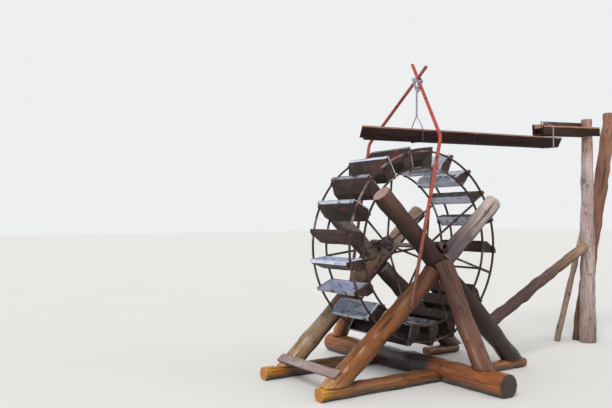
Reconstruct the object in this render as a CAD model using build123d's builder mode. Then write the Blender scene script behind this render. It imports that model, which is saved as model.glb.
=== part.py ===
from build123d import *
from math import copysign, cos, hypot, radians, sin, sqrt, tan
import os

# A small overshot water wheel on a frame of crossed logs, fed by a hung plank trough.
# Millimetres and degrees. The origin is on the ground below the middle of the wheel,
# X runs along the trough towards the post, Y along the axle, Z up.

# Fits between pieces, and how much a short log narrows from its middle to each end
seat_gap = 0.3
running_gap = 0.08
log_taper = 4.0

# Axle, hubs and bearings
axle_height = 1370.0
axle_diameter = 50.0
axle_bore = 34.0
axle_length = 1010.0
bearing_diameter = 104.0
bearing_length = 150.0
bearing_lip = 6.0
hub_diameter = 96.0
hub_length = 54.0
hub_plate_diameter = 190.0
hub_plate = 8.0

# Wheel rings and spokes
ring_diameter = 2000.0
ring_band = 170.0
ring_spacing = 654.0
ring_bar = 20.0
ring_bar_depth = 16.0
spoke_count = 7
spoke_angle = 32.6
spoke_width = 24.0
spoke_thickness = 8.0

# Trays
tray_count = 21
tray_angle = 84.0
tray_inner_gap = 20.0
tray_overhang = 52.0
tray_depth = 118.0
tray_lip = 34.0
tray_back = 42.0
tray_floor_flat = 95.0
tray_skin = 4.0
missing_tray = 15
tray_slips = {14: -5.2, 16: -4.1, 17: -1.5}
tie_strap_width = 25.0
tie_strap_thickness = 4.0

# Crossed log frames
frame_offset = 520.0
frame_log_radius = 98.0
frame_log_taper = 6.0
near_left_angle = 39.0
near_right_angle = 44.6
far_left_angle = 41.5
far_right_angle = 42.9
near_left_reach = 1044.0
near_right_reach = 1049.0
far_left_reach = 868.0
far_right_reach = 939.0
bearing_seat = 4.0

# Logs on the ground
sleeper_x = 30.0
sleeper_radius = 115.0
sleeper_near_end = -1380.0
sleeper_far_end = 1500.0
sleeper_flat = 10.0
sill_radius = 72.0
sill_flat = 6.0
sill_left_end = -1500.0
sill_right_end = -50.0
sill_seat = 126.0
pad_radius = 62.0
pad_start = 735.0
pad_end = 1245.0
pad_seat = 104.0

# Braces that stand on the sleeper and lean on the crossings
brace_radius = 92.0
brace_seat_depth = 14.0
brace_foot_x = 45.0
near_brace_foot = 1060.0
far_brace_foot = 1330.0
brace_top_offset = 632.0
brace_top_x = -55.0
brace_top_height = 1215.0

# Board across the feet of the left legs
near_board_height = 157.0
far_board_height = 123.0
foot_board_width = 96.0
foot_board_thickness = 26.0
foot_board_length = 1190.0
foot_board_sink = 10.0

# Trough over the wheel
trough_inner_width = 136.0
trough_board = 22.0
trough_depth = 129.0
trough_floor = 20.0
trough_rise = 1.05
trough_left_end = -640.0
trough_top_height = 2629.0
trough_length = 3200.0
trough_toe = 40.0
trough_cut_back = 90.0
trough_far_start = 135.0
trough_floor_start = 110.0

# Short feed trough on the post, with a rail over its far side
feed_rise = 2.4
feed_left_end = 2195.0
feed_gap = 21.0
feed_length = 1150.0
feed_depth = 120.0
feed_floor_gap = 22.0
feed_far_extra = 26.0
rail_start = 215.0
rail_height = 46.0
spreader_width = 30.0
spreader_height = 50.0
spreader_lift = 20.0
strap_x = 2376.0
strap_width = 20.0
strap_thickness = 3.0

# Post, leaning log and props
post_x = 3140.0
post_base_radius = 108.0
post_top_radius = 67.0
post_height = 2975.0
post_lean = 45.0
leaning_foot_x = 3215.0
leaning_y = 186.0
leaning_top_x = 3985.0
leaning_height = 3130.0
leaning_radius = 94.0
stay_log_radius = 66.0
stay_log_height = 1300.0
stay_log_drop = 905.0
prop_radius = 36.0
prop_height = 1590.0
prop_foot_x = 2880.0
prop_foot_y = 290.0

# Bent bars that carry the trough, with their rope
bar_radius = 18.0
bar_sink = 4.0
bar_bend_radius = 110.0
bar_cross_height = 3192.0
bar_cross_x = 188.0
near_bar_foot = (-485.0, 800.0)
near_bar_bend = (-72.0, 2488.0)
far_bar_foot = (-300.0, 900.0)
far_bar_bend = (-5.0, 2536.0)
near_bar_top = 320.0
far_bar_top = 195.0
rope_radius = 6.0
lashing_turns = 7
sling_x = 171.0
sling_split_height = 2795.0
sling_shoulder = 20.0

os.makedirs("parts", exist_ok=True)


def finish(part, name):
    part.label = name
    export_step(part, f"parts/{name}.step")


def unit(vector):
    return vector / vector.length


def log_sections(start, end, start_radius, end_radius, bows=(0, 0, 0, 0, 0), grow=0.0):
    # Round sections along a log, moved sideways by the bows to give it its crook
    along = end - start
    side = unit(along.cross(Vector(0.13, 1, 0.21)))
    sections = []
    last = len(bows) - 1
    for index, bow in enumerate(bows):
        share = index / last
        centre = start + along * share + side * bow
        radius = start_radius + (end_radius - start_radius) * share + grow
        with BuildSketch(Plane(origin=centre, z_dir=along)) as ring:
            Circle(radius)
        sections.append(ring.sketch)
    return sections


# Crossed frames. Each leg lies against the bearing, so its line is a set distance
# from the axle, and the two lines of a frame meet at the crossing below it.
leg_distance = frame_log_radius + bearing_diameter / 2 - bearing_seat


def crossing(left_angle, right_angle):
    left, right = radians(left_angle), radians(right_angle)
    spread = sin(left + right)
    x = -leg_distance * (cos(left) - cos(right)) / spread
    z = axle_height - leg_distance * (sin(left) + sin(right)) / spread
    return x, z


class Leg:
    # A frame log through the crossing, from its foot height up to its reach
    def __init__(self, side, left_angle, right_angle, rises, reach, foot_height, bows):
        self.y = side * frame_offset
        self.side = side
        cross_x, cross_z = crossing(left_angle, right_angle)
        angle = radians(left_angle if rises else right_angle)
        slope = 1 if rises else -1
        self.centre = Vector(cross_x, self.y, cross_z)
        self.direction = Vector(slope * cos(angle), 0, sin(angle))
        self.tip = self.centre + self.direction * reach
        down = (cross_z - foot_height) / sin(angle) + frame_log_radius / tan(angle)
        self.foot = self.centre - self.direction * down
        self.foot_x = cross_x - slope * (cross_z - foot_height) / tan(angle)
        self.foot_height = foot_height
        self.bows = bows

    def sections(self, grow=0.0):
        foot_radius = frame_log_radius + frame_log_taper
        tip_radius = frame_log_radius - frame_log_taper
        return log_sections(self.foot, self.tip, foot_radius, tip_radius, self.bows, grow)


near_left = Leg(-1, near_left_angle, near_right_angle, True, near_left_reach, sill_seat, (10, 2, 0, 0, 4))
near_right = Leg(-1, near_left_angle, near_right_angle, False, near_right_reach, pad_seat, (14, 3, 0, 0, 4))
far_left = Leg(1, far_left_angle, far_right_angle, True, far_left_reach, sill_seat, (-8, 0, 0, 0, -4))
far_right = Leg(1, far_left_angle, far_right_angle, False, far_right_reach, pad_seat, (-8, 0, 0, 0, 3))


def foot_board_plane(left_near, left_far):
    # The board's middle and its lie, from where it meets the two legs
    points = []
    for leg, height in ((left_near, near_board_height), (left_far, far_board_height)):
        share = (height - leg.centre.Z) / leg.direction.Z
        face = Vector(-leg.direction.Z, 0, leg.direction.X)
        points.append(leg.centre + leg.direction * share + face * (frame_log_radius - foot_board_sink))
    along = points[1] - points[0]
    face = Vector(-left_near.direction.Z, 0, left_near.direction.X)
    middle = (points[0] + points[1]) * 0.5
    return Plane(origin=middle, x_dir=along, z_dir=face - along * (face.dot(along) / along.dot(along)))


board_plane = foot_board_plane(near_left, far_left)


# A bent bar goes from the front of each frame, over the trough, to its free top
bar_y = frame_offset + frame_log_radius + bar_radius - bar_sink
bar_cross = Vector(bar_cross_x, 0, bar_cross_height)
near_corner = Vector(near_bar_bend[0], -bar_y, near_bar_bend[1])
far_corner = Vector(far_bar_bend[0], bar_y, far_bar_bend[1])
between_bars = unit((bar_cross - near_corner).cross(bar_cross - far_corner))
bar_apart = (2 * bar_radius + 2 * seat_gap) / abs(between_bars.X)


def bar_route(side, foot, corner, reach):
    start = Vector(foot[0], corner.Y, foot[1])
    cross = bar_cross - Vector(side * bar_apart / 2, 0, 0)
    top = cross + unit(cross - corner) * reach
    return start, corner, top


near_route = bar_route(-1, near_bar_foot, near_corner, near_bar_top)
far_route = bar_route(1, far_bar_foot, far_corner, far_bar_top)


def bar_path(route):
    with BuildLine() as path:
        FilletPolyline(*route, radius=bar_bend_radius)
    return path.line


def bar_end(route, grow=0.0):
    with BuildSketch(Plane(origin=route[0], z_dir=route[1] - route[0])) as section:
        Circle(bar_radius + grow)
    return section.sketch


def cut_frame_leg(leg, other, route, outer):
    # Half-lap at the crossing, bearing seat, bar groove, level foot. Runs in a BuildPart.
    front = Vector(0, leg.side, 0)
    lap_face = front * -1 if outer else front
    lap = Plane(origin=leg.centre - lap_face * (seat_gap / 2), x_dir=other.direction, z_dir=lap_face)
    with BuildSketch(lap) as notch:
        Rectangle(4 * frame_log_radius, 2 * (frame_log_radius + seat_gap))
    extrude(notch.sketch, amount=2 * frame_log_radius, mode=Mode.SUBTRACT)
    with BuildSketch(Plane(origin=(0, leg.y, axle_height), z_dir=(0, 1, 0))) as seat:
        Circle(bearing_diameter / 2 + seat_gap)
    extrude(seat.sketch, amount=2 * frame_log_radius, both=True, mode=Mode.SUBTRACT)
    sweep(bar_end(route, seat_gap), path=bar_path(route), mode=Mode.SUBTRACT)
    split(bisect_by=Plane(origin=(0, 0, leg.foot_height), z_dir=(0, 0, 1)), keep=Keep.TOP)


def cut_foot_board():
    # Housing for the board across the left feet. Runs in a BuildPart.
    with BuildSketch(board_plane) as housing:
        Rectangle(foot_board_length, foot_board_width + 2 * seat_gap)
    extrude(housing.sketch, amount=2 * foot_board_thickness, mode=Mode.SUBTRACT)


with BuildPart() as near_left_log:
    loft(near_left.sections())
    cut_frame_leg(near_left, near_right, near_route, False)
    cut_foot_board()
finish(near_left_log.part, "near_left_log")

with BuildPart() as near_right_log:
    loft(near_right.sections())
    cut_frame_leg(near_right, near_left, near_route, True)
finish(near_right_log.part, "near_right_log")

with BuildPart() as far_left_log:
    loft(far_left.sections())
    cut_frame_leg(far_left, far_right, far_route, False)
    cut_foot_board()
finish(far_left_log.part, "far_left_log")

with BuildPart() as far_right_log:
    loft(far_right.sections())
    cut_frame_leg(far_right, far_left, far_route, True)
finish(far_right_log.part, "far_right_log")

with BuildPart() as foot_board:
    with BuildSketch(board_plane.offset(seat_gap)):
        Rectangle(foot_board_length, foot_board_width)
    extrude(amount=foot_board_thickness)
finish(foot_board.part, "foot_board")


# Logs on the ground
brace_seat_height = 2 * sleeper_radius - sleeper_flat - brace_seat_depth


def brace_line(side, foot_offset):
    foot = Vector(brace_foot_x, side * foot_offset, brace_seat_height)
    top = Vector(brace_top_x, side * brace_top_offset, brace_top_height)
    return foot, top


def sleeper_sections(grow=0.0):
    height = sleeper_radius - sleeper_flat
    start = Vector(sleeper_x, sleeper_near_end, height)
    end = Vector(sleeper_x, sleeper_far_end, height)
    return log_sections(start, end, sleeper_radius, sleeper_radius, (0, 0), grow)


ground = Plane(origin=(0, 0, 0), z_dir=(0, 0, 1))

with BuildPart() as cross_sleeper:
    loft(sleeper_sections())
    split(bisect_by=ground, keep=Keep.TOP)
    for side, foot_offset in ((-1, near_brace_foot), (1, far_brace_foot)):
        # The notch takes the brace's foot, which is longer for its lean
        foot, top = brace_line(side, foot_offset)
        lean = abs(top.Y - foot.Y) / (top.Z - foot.Z)
        length = 2 * brace_radius * sqrt(1 + lean * lean) + 2 * brace_seat_depth
        with BuildSketch(Plane(origin=foot, z_dir=(0, 0, 1))):
            Rectangle(2 * sleeper_radius, length)
        extrude(amount=sleeper_radius, mode=Mode.SUBTRACT)
finish(cross_sleeper.part, "cross_sleeper")


def build_sill(leg, name):
    height = sill_radius - sill_flat
    start = Vector(sill_left_end, leg.y, height)
    end = Vector(sill_right_end, leg.y, height)
    with BuildPart() as sill:
        loft(log_sections(start, end, sill_radius, sill_radius - log_taper, (0, 5, 0)))
        loft(sleeper_sections(seat_gap), mode=Mode.SUBTRACT)
        split(bisect_by=ground, keep=Keep.TOP)
        reach = (frame_log_radius + 4 * frame_log_taper) / leg.direction.Z
        with BuildSketch(Plane(origin=(leg.foot_x, leg.y, leg.foot_height - seat_gap))):
            Rectangle(2 * reach, 3 * sill_radius)
        extrude(amount=sill_radius, mode=Mode.SUBTRACT)
    finish(sill.part, name)


build_sill(near_left, "near_sill")
build_sill(far_left, "far_sill")


def build_pad(leg, name):
    height = pad_radius - sill_flat
    start = Vector(pad_start, leg.y, height)
    end = Vector(pad_end, leg.y, height)
    with BuildPart() as pad:
        loft(log_sections(start, end, pad_radius, pad_radius, (0, 0)))
        split(bisect_by=ground, keep=Keep.TOP)
        split(bisect_by=Plane(origin=(0, 0, leg.foot_height - seat_gap), z_dir=(0, 0, 1)), keep=Keep.BOTTOM)
    finish(pad.part, name)


build_pad(near_right, "near_foot_pad")
build_pad(far_right, "far_foot_pad")


def build_brace(side, foot_offset, legs, name):
    foot, top = brace_line(side, foot_offset)
    along = unit(top - foot)
    start = foot - along * brace_radius
    with BuildPart() as brace:
        ends = (brace_radius + log_taper, brace_radius - log_taper)
        loft(log_sections(start, top, *ends, (0, 4, 6, 2, 0)))
        split(bisect_by=Plane(origin=foot + Vector(0, 0, seat_gap), z_dir=(0, 0, 1)), keep=Keep.TOP)
        for leg in legs:
            loft(leg.sections(seat_gap), mode=Mode.SUBTRACT)
    finish(brace.part, name)


build_brace(-1, near_brace_foot, (near_left, near_right), "near_brace")
build_brace(1, far_brace_foot, (far_left, far_right), "far_brace")


# Bearings that lie in the upper crotch of each frame
def build_bearing(side, name):
    middle = Plane(origin=(0, side * frame_offset, axle_height), z_dir=(0, 1, 0))
    with BuildPart() as bearing:
        with BuildSketch(middle):
            Circle(bearing_diameter / 2)
            Circle(axle_diameter / 2 + running_gap, mode=Mode.SUBTRACT)
        extrude(amount=bearing_length / 2, both=True)
        rims = bearing.edges().filter_by(GeomType.CIRCLE).group_by(SortBy.RADIUS)[-1]
        chamfer(rims, length=bearing_lip)
    finish(bearing.part, name)


build_bearing(-1, "near_bearing")
build_bearing(1, "far_bearing")


# The wheel. The trays start just outside the inner rings and stand out past the outer ones.
inner_ring_diameter = ring_diameter - 2 * ring_band
tray_inner_radius = inner_ring_diameter / 2 + tray_inner_gap
tray_outer_radius = ring_diameter / 2 + tray_overhang

with BuildPart() as axle:
    with BuildSketch(Plane(origin=(0, 0, axle_height), z_dir=(0, 1, 0))):
        Circle(axle_diameter / 2)
        Circle(axle_bore / 2, mode=Mode.SUBTRACT)
    extrude(amount=axle_length / 2, both=True)
finish(axle.part, "axle")


def build_ring(side, diameter, name):
    with BuildPart() as ring:
        with BuildSketch(Plane.YZ):
            with Locations((side * ring_spacing / 2, axle_height + diameter / 2)):
                Rectangle(ring_bar, ring_bar_depth)
        revolve(axis=Axis((0, 0, axle_height), (0, 1, 0)))
    finish(ring.part, name)


for side, where in ((-1, "near"), (1, "far")):
    build_ring(side, ring_diameter, f"{where}_outer_ring")
    build_ring(side, inner_ring_diameter, f"{where}_inner_ring")


def build_spokes(side, name):
    outer_end = inner_ring_diameter / 2 - ring_bar_depth / 2 - seat_gap
    face = Plane(origin=(0, side * (ring_spacing - spoke_thickness) / 2, axle_height), z_dir=(0, side, 0))
    with BuildPart() as spokes:
        with BuildSketch(face):
            Circle(hub_diameter / 2)
        extrude(amount=hub_length / 2, both=True)
        with BuildSketch(face):
            Circle(hub_plate_diameter / 2)
        extrude(amount=hub_plate)
        for index in range(spoke_count):
            angle = radians(spoke_angle + index * 360 / spoke_count)
            ray = Vector(cos(angle), 0, sin(angle))
            start = hub_diameter / 4
            middle = face.origin + ray * ((outer_end + start) / 2)
            with BuildSketch(Plane(origin=middle, x_dir=ray, z_dir=face.z_dir)):
                Rectangle(outer_end - start, spoke_width)
            extrude(amount=spoke_thickness)
        with BuildSketch(face):
            Circle(axle_diameter / 2)
        extrude(amount=hub_length, both=True, mode=Mode.SUBTRACT)
    finish(spokes.part, name)


build_spokes(-1, "near_spokes")
build_spokes(1, "far_spokes")


def build_tray(angle, name):
    # A folded sheet tray, open on the side that faces up while it goes down
    turn = radians(angle)
    outward = Vector(cos(turn), 0, sin(turn))
    back = Vector(-sin(turn), 0, cos(turn))
    hub = Vector(0, 0, axle_height)
    width = ring_spacing - ring_bar - 2 * seat_gap
    corners = [
        (tray_inner_radius, 0),
        (tray_inner_radius - tray_back, tray_depth),
        (tray_inner_radius - tray_back + tray_floor_flat, tray_depth),
        (tray_outer_radius, tray_lip),
        (tray_outer_radius, 0),
    ]
    profile = Plane(origin=hub, x_dir=outward, z_dir=outward.cross(back))
    with BuildPart() as tray:
        with BuildSketch(profile):
            with BuildLine():
                Polyline(*corners, close=True)
            make_face()
        extrude(amount=width / 2, both=True)
        mouth = tray.faces().sort_by(Axis(hub, back))[0]
        offset(amount=-tray_skin, openings=mouth, kind=Kind.INTERSECTION)
    finish(tray.part, name)


# One tray is missing, and its neighbours have slipped along the rings
placed = [index for index in range(tray_count) if index != missing_tray]
for number, index in enumerate(placed, start=1):
    slip = tray_slips.get(index, 0)
    build_tray(tray_angle + slip + index * 360 / tray_count, f"tray_{number:02d}")

with BuildPart() as bare_ties:
    # The bars that held the missing tray: one in each pair of rings and a strap across
    turn = radians(tray_angle + missing_tray * 360 / tray_count)
    ray = Vector(cos(turn), 0, sin(turn))
    hub = Vector(0, 0, axle_height)
    inner = inner_ring_diameter / 2
    start = inner + ring_bar_depth / 2 + seat_gap
    end = ring_diameter / 2 - ring_bar_depth / 2 - seat_gap
    for side in (-1, 1):
        middle = hub + ray * ((start + end) / 2) + Vector(0, side * ring_spacing / 2, 0)
        with BuildSketch(Plane(origin=middle, x_dir=ray, z_dir=(0, 1, 0))):
            Rectangle(end - start, tie_strap_width)
        extrude(amount=ring_bar / 2, both=True)
    with BuildSketch(Plane(origin=hub + ray * inner, x_dir=ray, z_dir=(0, 1, 0))):
        Rectangle(tie_strap_thickness, tie_strap_width)
    extrude(amount=(ring_spacing - ring_bar) / 2 - seat_gap, both=True)
finish(bare_ties.part, "bare_ties")


# Troughs. Each is drawn in a plane along its own slope from its left end, where
# local X runs up the slope, local Y is up from the board's edge and Z points to -Y.
def sloped_plane(left, height, rise):
    along = Vector(cos(radians(rise)), 0, sin(radians(rise)))
    return Plane(origin=(left, 0, height), x_dir=along, z_dir=(0, -1, 0))


def edge_height(plane, x):
    # Height of a trough's near edge above the ground at one place along it
    return plane.origin.Z + (x - plane.origin.X) * plane.x_dir.Z / plane.x_dir.X


trough_plane = sloped_plane(trough_left_end, trough_top_height, trough_rise)
feed_top_height = edge_height(trough_plane, feed_left_end) + feed_gap + feed_depth
feed_plane = sloped_plane(feed_left_end, feed_top_height, feed_rise)
side_inner = trough_inner_width / 2 + seat_gap
side_outer = side_inner + trough_board


def build_side_board(plane, side, corners, name):
    with BuildPart() as board:
        with BuildSketch(plane.offset(-side * side_inner)):
            with BuildLine():
                Polyline(*corners, close=True)
            make_face()
        extrude(amount=-side * trough_board)
    finish(board.part, name)


def build_floor(plane, left, right, depth, name):
    with BuildPart() as floor:
        with BuildSketch(plane):
            with Locations(((left + right) / 2, trough_floor / 2 - depth)):
                Rectangle(right - left, trough_floor)
        extrude(amount=trough_inner_width / 2, both=True)
    finish(floor.part, name)


def board_corners(left, right, top, bottom, left_toe=0, right_cut=0):
    return [(left, top), (right, top), (right - right_cut, bottom), (left - left_toe, bottom)]


near_corners = board_corners(0, trough_length, 0, -trough_depth, trough_toe, trough_cut_back)
build_side_board(trough_plane, -1, near_corners, "trough_near_board")
far_corners = board_corners(trough_far_start, trough_length, 0, -trough_depth, right_cut=trough_cut_back)
build_side_board(trough_plane, 1, far_corners, "trough_far_board")
floor_end = trough_length - trough_cut_back
build_floor(trough_plane, trough_floor_start, floor_end, trough_depth, "trough_floor")

near_corners = board_corners(0, feed_length, 0, -feed_depth)
build_side_board(feed_plane, -1, near_corners, "feed_near_board")
far_corners = board_corners(0, feed_length, feed_far_extra, -feed_depth)
build_side_board(feed_plane, 1, far_corners, "feed_far_board")
rail_bottom = feed_far_extra + seat_gap
rail_top = rail_bottom + rail_height
rail_corners = board_corners(rail_start, feed_length, rail_top, rail_bottom)
build_side_board(feed_plane, 1, rail_corners, "feed_rail")
floor_end = post_x + post_lean - post_top_radius - feed_left_end - feed_floor_gap
build_floor(feed_plane, 0, floor_end, feed_depth, "feed_floor")

with BuildPart() as feed_spreader:
    # A short bar let in between the sides at the mouth, over the water
    with BuildSketch(feed_plane):
        with Locations((spreader_width, spreader_lift - spreader_height / 2)):
            Rectangle(spreader_width, spreader_height)
    extrude(amount=trough_inner_width / 2, both=True)
finish(feed_spreader.part, "feed_spreader")

with BuildPart() as feed_strap:
    # Goes over the rail and both feed boards and down round the trough below
    near_top = edge_height(feed_plane, strap_x + strap_width / 2) + seat_gap
    far_top = near_top + rail_top
    under = edge_height(trough_plane, strap_x - strap_width / 2) - trough_depth - seat_gap
    reach = side_outer + seat_gap
    outline = [
        (-reach, under),
        (-reach, near_top),
        (-side_inner, near_top),
        (side_inner, far_top),
        (reach, far_top),
        (reach, under),
    ]
    with BuildSketch(Plane(origin=(strap_x, 0, 0), x_dir=(0, 1, 0), z_dir=(1, 0, 0))):
        with BuildLine():
            Polyline(*outline, close=True)
        make_face()
        offset(amount=strap_thickness, kind=Kind.INTERSECTION)
        with BuildLine():
            Polyline(*outline, close=True)
        make_face(mode=Mode.SUBTRACT)
    extrude(amount=strap_width / 2, both=True)
finish(feed_strap.part, "feed_strap")


# Post with flat cheeks for the feed boards, and the logs about it
def post_sections(grow=0.0):
    start = Vector(post_x, 0, 0)
    end = Vector(post_x + post_lean, 0, post_height)
    return log_sections(start, end, post_base_radius, post_top_radius, (0, 6, 0, -5, 0), grow)


with BuildPart() as post:
    loft(post_sections())
    cheek = trough_inner_width / 2
    for side in (-1, 1):
        with BuildSketch(feed_plane.offset(-side * cheek)):
            with Locations((post_x - feed_left_end, feed_depth)):
                Rectangle(6 * post_top_radius, 4 * feed_depth)
        extrude(amount=-side * 2 * post_top_radius, mode=Mode.SUBTRACT)
    split(bisect_by=ground, keep=Keep.TOP)
finish(post.part, "post")

with BuildPart() as leaning_log:
    foot = Vector(leaning_foot_x, leaning_y, 0)
    top = Vector(leaning_top_x, leaning_y, leaning_height)
    below = foot - unit(top - foot) * leaning_radius
    ends = (leaning_radius + log_taper, leaning_radius - log_taper)
    loft(log_sections(below, top, *ends, (0, 10, 6, -6, 0)))
    split(bisect_by=ground, keep=Keep.TOP)
    loft(post_sections(seat_gap), mode=Mode.SUBTRACT)
finish(leaning_log.part, "leaning_log")

with BuildPart() as post_brace:
    top = Vector(post_x + post_lean / 2, 0, stay_log_height)
    drop = near_right.centre.Z - (axle_height - stay_log_drop)
    low = near_right.centre - near_right.direction * (drop / near_right.direction.Z)
    low = low + Vector(0, frame_log_radius, 0)
    ends = (stay_log_radius + log_taper, stay_log_radius - log_taper)
    loft(log_sections(low, top, *ends, (0, -8, 5, 8, 0)))
    loft(near_right.sections(seat_gap), mode=Mode.SUBTRACT)
    loft(post_sections(seat_gap), mode=Mode.SUBTRACT)
finish(post_brace.part, "post_brace")

with BuildPart() as post_prop:
    foot = Vector(prop_foot_x, prop_foot_y, 0)
    top = Vector(post_x + post_lean / 2, prop_radius, prop_height)
    below = foot - unit(top - foot) * prop_radius
    loft(log_sections(below, top, prop_radius + log_taper, prop_radius, (0, 6, 0)))
    split(bisect_by=ground, keep=Keep.TOP)
    loft(post_sections(seat_gap), mode=Mode.SUBTRACT)
finish(post_prop.part, "post_prop")


# Bent bars, the lashing about their crossing, and the rope from it round the trough
def build_bar(route, name):
    with BuildPart() as bar:
        sweep(bar_end(route), path=bar_path(route))
    finish(bar.part, name)


build_bar(near_route, "near_hanger_bar")
build_bar(far_route, "far_hanger_bar")


def bar_drift(route):
    # How far a bar moves in X and in Y for each millimetre it rises to the crossing
    rise = bar_cross_height - route[1].Z
    cross_x = bar_cross_x - copysign(bar_apart / 2, route[1].Y)
    return (cross_x - route[1].X) / rise, abs(route[1].Y) / rise


near_drift, far_drift = bar_drift(near_route), bar_drift(far_route)
drift_x = (near_drift[0] + far_drift[0]) / 2
drift_y = max(near_drift[1], far_drift[1])
rope_reach = rope_radius + seat_gap


def rope_loop(plane, radius, corners, bend):
    # The strand's section and the closed path that it follows
    with BuildLine(plane) as loop:
        FilletPolyline(*corners, radius=bend, close=True)
    path = loop.wires()[0]
    with BuildSketch(Plane(origin=path @ 0, z_dir=path % 0)) as strand:
        Circle(radius)
    return strand.sketch, path


def lashing_loop(lift):
    # One turn about both bars, as far above their crossing as the lift
    slack = abs(near_drift[0] - far_drift[0]) / 2
    reach_x = (bar_radius + rope_reach + seat_gap) * hypot(1, drift_x)
    half_x = bar_apart / 2 + abs(lift) * slack + reach_x
    half_y = abs(lift) * drift_y + (bar_radius + rope_reach) * hypot(1, drift_y)
    centre = Vector(bar_cross_x + lift * drift_x, 0, bar_cross_height + lift)
    corners = [(half_x, half_y), (-half_x, half_y), (-half_x, -half_y), (half_x, -half_y)]
    strand, loop = rope_loop(Plane(origin=centre), rope_radius, corners, 2 * rope_radius)
    return strand, loop, centre - Vector(half_x, 0, 0)


def trough_section(x):
    # Square to the trough: local X is Y, and local Y is the height over its edge
    across = Vector(0, 1, 0)
    return Plane(origin=(x, 0, edge_height(trough_plane, x)), x_dir=across, z_dir=trough_plane.x_dir)


with BuildPart() as hanger_rope:
    pitch = 1.8 * rope_radius
    low_side = None
    for index in range(lashing_turns):
        strand, loop, side_point = lashing_loop((index - (lashing_turns - 1) / 2) * pitch)
        sweep(strand, path=loop)
        low_side = low_side or side_point
    split_point = Vector(sling_x, 0, sling_split_height)
    with BuildSketch(Plane(origin=low_side, z_dir=split_point - low_side)):
        Circle(rope_radius)
    extrude(amount=(split_point - low_side).length + 2 * rope_radius)
    side_y = side_outer + seat_gap + rope_reach
    under = -trough_depth - rope_reach
    top = sling_split_height - edge_height(trough_plane, sling_x)
    points = [(0, top), (side_y, sling_shoulder), (side_y, under)]
    points += [(-side_y, under), (-side_y, sling_shoulder)]
    strand, loop = rope_loop(trough_section(sling_x), rope_radius, points, rope_reach)
    sweep(strand, path=loop)
finish(hanger_rope.part, "hanger_rope")
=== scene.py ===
import math
import random

import bpy
import numpy as np
from mathutils import Matrix, Vector, noise


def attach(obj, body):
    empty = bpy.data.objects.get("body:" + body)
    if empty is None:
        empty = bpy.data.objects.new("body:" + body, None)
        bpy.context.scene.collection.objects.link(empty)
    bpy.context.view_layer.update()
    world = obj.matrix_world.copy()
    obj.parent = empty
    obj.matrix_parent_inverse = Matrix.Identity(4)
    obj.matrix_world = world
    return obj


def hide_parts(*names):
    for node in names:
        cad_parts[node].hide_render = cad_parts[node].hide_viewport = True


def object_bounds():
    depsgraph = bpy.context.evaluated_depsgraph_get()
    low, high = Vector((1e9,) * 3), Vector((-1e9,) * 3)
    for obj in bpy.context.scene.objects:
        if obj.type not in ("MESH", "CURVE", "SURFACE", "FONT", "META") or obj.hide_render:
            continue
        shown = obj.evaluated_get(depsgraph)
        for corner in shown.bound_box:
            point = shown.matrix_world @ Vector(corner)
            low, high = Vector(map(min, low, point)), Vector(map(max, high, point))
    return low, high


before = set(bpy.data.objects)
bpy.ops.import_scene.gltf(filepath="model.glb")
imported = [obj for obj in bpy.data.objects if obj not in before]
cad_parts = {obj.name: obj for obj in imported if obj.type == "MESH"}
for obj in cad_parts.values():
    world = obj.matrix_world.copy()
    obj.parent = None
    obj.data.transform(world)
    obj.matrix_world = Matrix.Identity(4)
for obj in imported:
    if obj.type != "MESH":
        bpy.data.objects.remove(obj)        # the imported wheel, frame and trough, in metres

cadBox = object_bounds()
print("frame loaded:", len(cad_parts), "nodes")

# Camera and room first

view = {
    "place": (-4.9414, -5.7629, 1.6584),
    "yaw": 32.36,         # degrees from +Y towards +X
    "pitch": 1.289,
    "roll": -0.407,
    "lens": 40.45,
}

room = {
    "floorSize": 160.0,
    "floorDrop": 0.0012,
    "floorColor": (226, 225, 222),
    "skyColor": (238, 239, 240),
    "skyLight": 0.62,
    "keyTurn": (44.0, 6.0, -58.0),
    "keyLight": 1.75,
    "fillTurn": (66.0, 0.0, 40.0),
    "fillLight": 0.3,
    "sideTurn": (88.0, 0.0, -74.0),
    "sideLight": 0.95,
    "lightSpread": 24.0,  # degrees, so that shadows stay soft
}


def tone(color):  # a screen colour from 0 to 255, as the shaders take it
    shares = [value / 255 for value in color]
    linear = [v / 12.92 if v < 0.04045 else ((v + 0.055) / 1.055) ** 2.4 for v in shares]
    return (*linear, 1.0)


def selectNone():
    bpy.ops.object.select_all(action="DESELECT")


def only(piece):  # selects one object and nothing else
    selectNone()
    piece.select_set(True)
    bpy.context.view_layer.objects.active = piece


def node(tree, kind, inputs=None, **settings):
    made = tree.nodes.new(kind)
    for key, value in settings.items():
        setattr(made, key, value)
    for key, value in (inputs or {}).items():
        if isinstance(value, bpy.types.NodeSocket):
            tree.links.new(value, made.inputs[key])
        else:
            made.inputs[key].default_value = value
    return made


def calc(tree, operation, first, second=0.0, clamp=False):
    made = node(tree, "ShaderNodeMath", {0: first, 1: second}, operation=operation)
    made.use_clamp = clamp
    return made.outputs[0]


def times(tree, first, second):
    return calc(tree, "MULTIPLY", first, second)


def plus(tree, first, second):
    return calc(tree, "ADD", first, second)


def blendColors(tree, share, first, second, way="MIX"):
    made = node(tree, "ShaderNodeMix", {0: share, 6: first, 7: second}, data_type="RGBA")
    made.blend_type = way
    return made.outputs[2]


def between(tree, value, low, high, toLow=0.0, toHigh=1.0):
    inputs = {0: value, 1: low, 2: high, 3: toLow, 4: toHigh}
    return node(tree, "ShaderNodeMapRange", inputs, interpolation_type="SMOOTHSTEP").outputs[0]


def stretched(tree, vector, scale):
    return node(tree, "ShaderNodeVectorMath", {0: vector, 1: scale}, operation="MULTIPLY").outputs[0]


def noiseOf(tree, vector, scale=1.0, detail=4.0, rough=0.6):
    inputs = {"Vector": vector, "Scale": scale, "Detail": detail, "Roughness": rough}
    return node(tree, "ShaderNodeTexNoise", inputs).outputs[0]


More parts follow.
